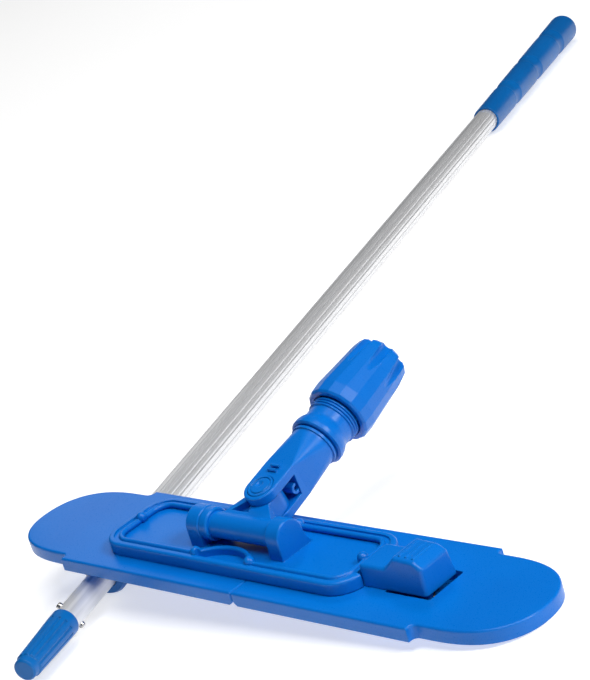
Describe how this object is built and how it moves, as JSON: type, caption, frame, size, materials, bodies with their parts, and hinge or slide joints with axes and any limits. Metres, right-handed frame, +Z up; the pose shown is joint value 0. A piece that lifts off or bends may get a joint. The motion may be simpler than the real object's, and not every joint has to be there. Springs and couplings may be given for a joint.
{
  "type": "flat mop",
  "caption": "Folding flat mop head with tray, swivel fork, clamp nut and foot pedal, leaning on its loose telescopic handle.",
  "frame": {"origin": "bottom centre of the kit's box, on the floor", "axes": "+Z up from the floor; +X along the mop plate towards the foot pedal; +Y to the rear, where the handle's grip lies"},
  "size_m": [0.703, 1.0788, 0.0922],
  "materials": {
    "blue_plastic": "satin moulded",
    "grip_plastic": "satin",
    "tube_aluminium": "anodised, fluted",
    "inner_aluminium": "smooth satin",
    "steel": "brushed",
    "spring_steel": "plated",
    "natural_plastic": "plain"
  },
  "bodies": {
    "outer_handle": {"outer_tube": "tube_aluminium", "hand_grip": "grip_plastic", "lock_bush": "natural_plastic"},
    "inner_handle": {"inner_tube": "inner_aluminium", "guide_bush": "natural_plastic", "tip_plug": "grip_plastic", "button_spring": "spring_steel"},
    "collar": {"lock_collar": "grip_plastic"},
    "button_upper": {"snap_button_upper": "steel"},
    "button_lower": {"snap_button_lower": "steel"},
    "head": {"left_wing": "blue_plastic", "hinge_pin": "steel", "centre_tray": "blue_plastic", "tray_screws": "steel", "trunnion_axle": "steel"},
    "folding_wing": {"right_wing": "blue_plastic", "pedal_pin": "steel", "pedal_spring": "spring_steel"},
    "pedal": {"foot_pedal": "blue_plastic"},
    "cross": {"trunnion_cross": "blue_plastic", "flanged_bush": "blue_plastic"},
    "fork": {"swivel_fork": "blue_plastic", "pivot_pin": "blue_plastic", "pivot_cap": "blue_plastic", "detent_clip": "blue_plastic", "socket_sleeve": "blue_plastic"},
    "collet": {"clamp_collet": "natural_plastic"},
    "nut": {"clamp_nut": "blue_plastic"}
  },
  "joints": [
    {"name": "head_lift", "type": "slide", "parent": "outer_handle", "child": "head", "axis": [0, 0, 1], "range_m": [0, 0.15]},
    {"name": "wing_fold", "type": "hinge", "parent": "head", "child": "folding_wing", "pos_m": [0.16031, -0.41859, 0.01867], "axis": [-0.0013, 0.9995, -0.0304], "range_deg": [0, 85]},
    {"name": "pedal_press", "type": "hinge", "parent": "folding_wing", "child": "pedal", "pos_m": [0.2522, -0.41844, 0.01961], "axis": [-0.0013, 0.9995, -0.0304], "range_deg": [0, 4], "stiffness_Nm_per_rad": 1.5, "springref_deg": -1.15, "deforming": ["pedal_spring"]},
    {"name": "cross_tilt", "type": "hinge", "parent": "head", "child": "cross", "pos_m": [0.15358, -0.41993, 0.04045], "axis": [0.9966, -0.0013, -0.0823], "range_deg": [0, 148]},
    {"name": "fork_swing", "type": "hinge", "parent": "cross", "child": "fork", "pos_m": [0.14539, -0.39812, 0.04668], "axis": [0.0794, -0.2463, 0.9659], "range_deg": [-45, 45]},
    {"name": "nut_lift", "type": "slide", "parent": "fork", "child": "collet", "axis": [0.0215, 0.9692, 0.2454], "range_m": [0, 0.0045]},
    {"name": "nut_turn", "type": "hinge", "parent": "collet", "child": "nut", "pos_m": [0.1469, -0.32979, 0.06398], "axis": [0.0215, 0.9692, 0.2454], "range_deg": [0, 540]},
    {"name": "tube_extend", "type": "slide", "parent": "outer_handle", "child": "inner_handle", "axis": [0.3464, -0.9381, 0], "range_m": [0, 0.7]},
    {"name": "collar_twist", "type": "hinge", "parent": "outer_handle", "child": "collar", "pos_m": [0.02045, -0.44077, 0.014], "axis": [0.3464, -0.9381, 0], "range_deg": [0, 180]},
    {"name": "button_press", "type": "slide", "parent": "inner_handle", "child": "button_upper", "axis": [0.5109, 0.1887, -0.8387], "range_m": [0, 0.0022], "stiffness_N_per_m": 300, "springref_m": -0.001, "deforming": ["button_spring"]},
    {"name": "button_press_lower", "type": "slide", "parent": "inner_handle", "child": "button_lower", "axis": [-0.5109, -0.1887, 0.8387], "range_m": [0, 0.0022], "stiffness_N_per_m": 300, "springref_m": -0.001}
  ],
  "couplings": [
    {"joint": "nut_lift", "follows": "nut_turn", "m_per_rad": 0.00047746},
    {"joint": "button_press_lower", "follows": "button_press", "ratio": 1}
  ]
}
